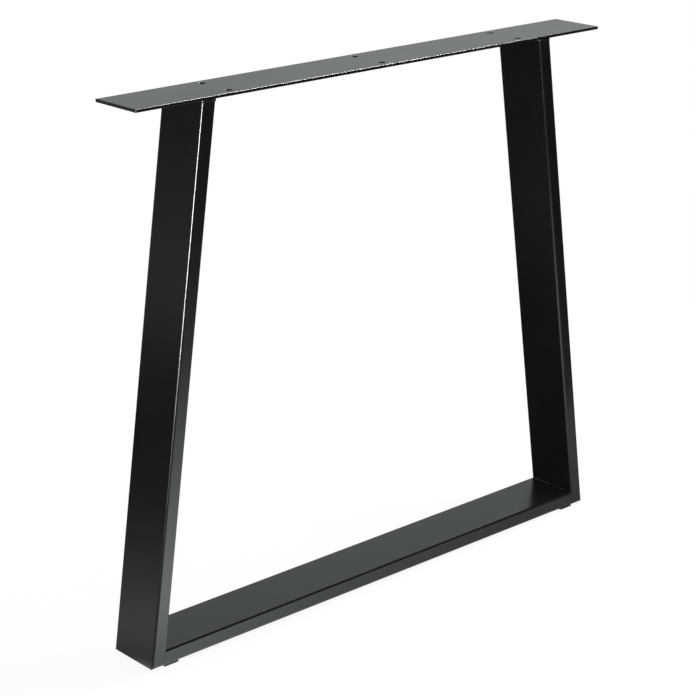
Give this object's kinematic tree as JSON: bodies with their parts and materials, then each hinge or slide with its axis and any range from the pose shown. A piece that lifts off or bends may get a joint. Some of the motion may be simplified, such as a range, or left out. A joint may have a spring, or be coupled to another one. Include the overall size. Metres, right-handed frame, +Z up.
{
  "type": "metal table leg",
  "caption": "Trapezoid frame table leg of black powder-coated rectangular steel tube: leaning legs on a floor rail, welded under a long drilled plate.",
  "frame": {"origin": "on the floor, below the middle of the frame", "axes": "+X along the top plate and the floor rail, +Y across the wide side of the tubes, +Z up"},
  "size_m": [0.8, 0.0814, 0.72],
  "materials": {
    "powder_coated_steel": "satin",
    "black_rubber": "matte"
  },
  "bodies": {
    "root": {"top_plate": "powder_coated_steel", "left_leg_tube": "powder_coated_steel", "right_leg_tube": "powder_coated_steel", "floor_rail_tube": "powder_coated_steel", "left_top_weld": "powder_coated_steel", "right_top_weld": "powder_coated_steel", "left_corner_weld": "powder_coated_steel", "right_corner_weld": "powder_coated_steel", "left_floor_pad": "black_rubber", "right_floor_pad": "black_rubber"}
  },
  "joints": []
}
